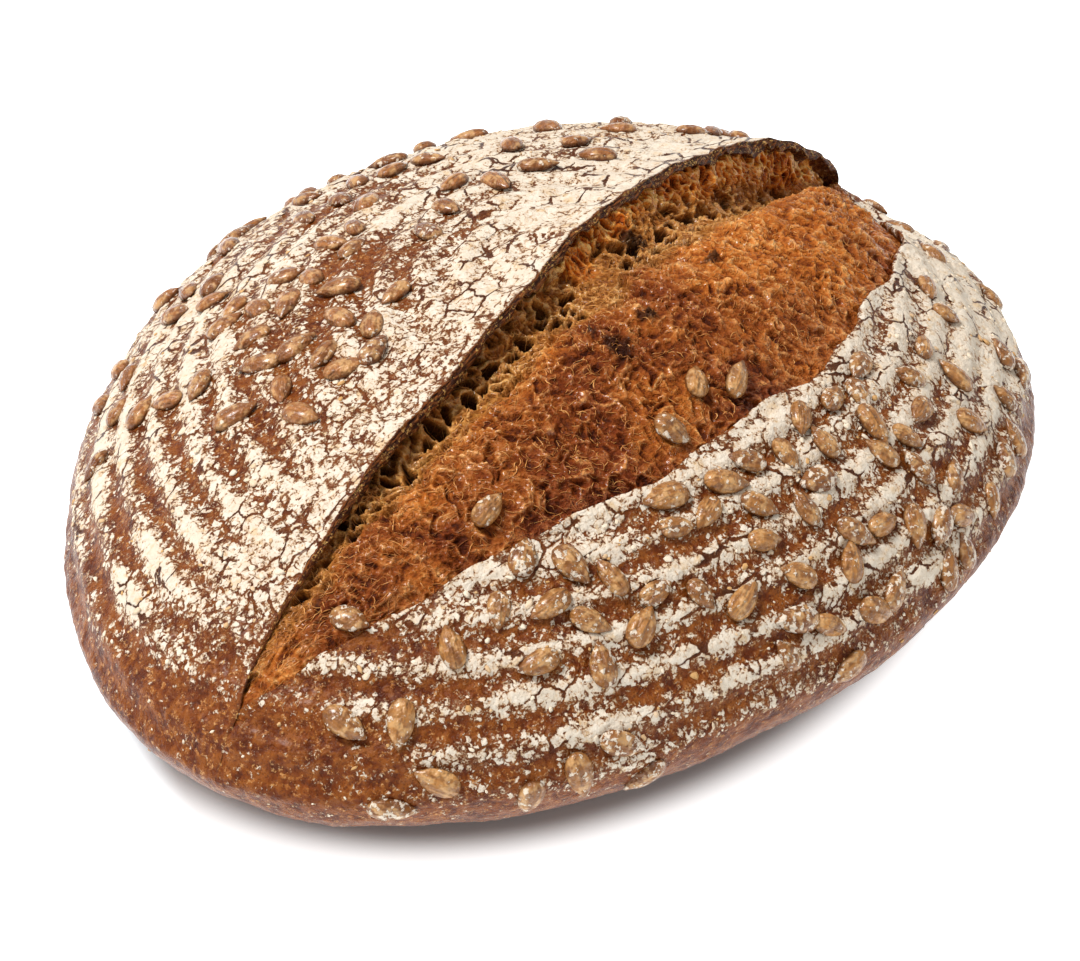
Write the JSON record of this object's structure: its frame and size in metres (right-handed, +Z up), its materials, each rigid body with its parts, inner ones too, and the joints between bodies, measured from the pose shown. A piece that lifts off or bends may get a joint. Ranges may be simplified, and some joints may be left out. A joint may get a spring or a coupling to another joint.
{
  "type": "rye bread loaf",
  "caption": "Oval rye loaf with a floured, ringed crust, one long slash with a raised ear and torn bloom, and sunflower kernels baked on.",
  "frame": {"origin": "centre of the bounding box, on the surface that the loaf's base rests on", "axes": "+X along the loaf towards its broader end, +Z up"},
  "size_m": [0.2564, 0.2018, 0.0871],
  "materials": {
    "loaf": "matt baked bread crust, dusted with pale flour"
  },
  "bodies": {
    "root": {"loaf": "loaf"}
  },
  "joints": []
}
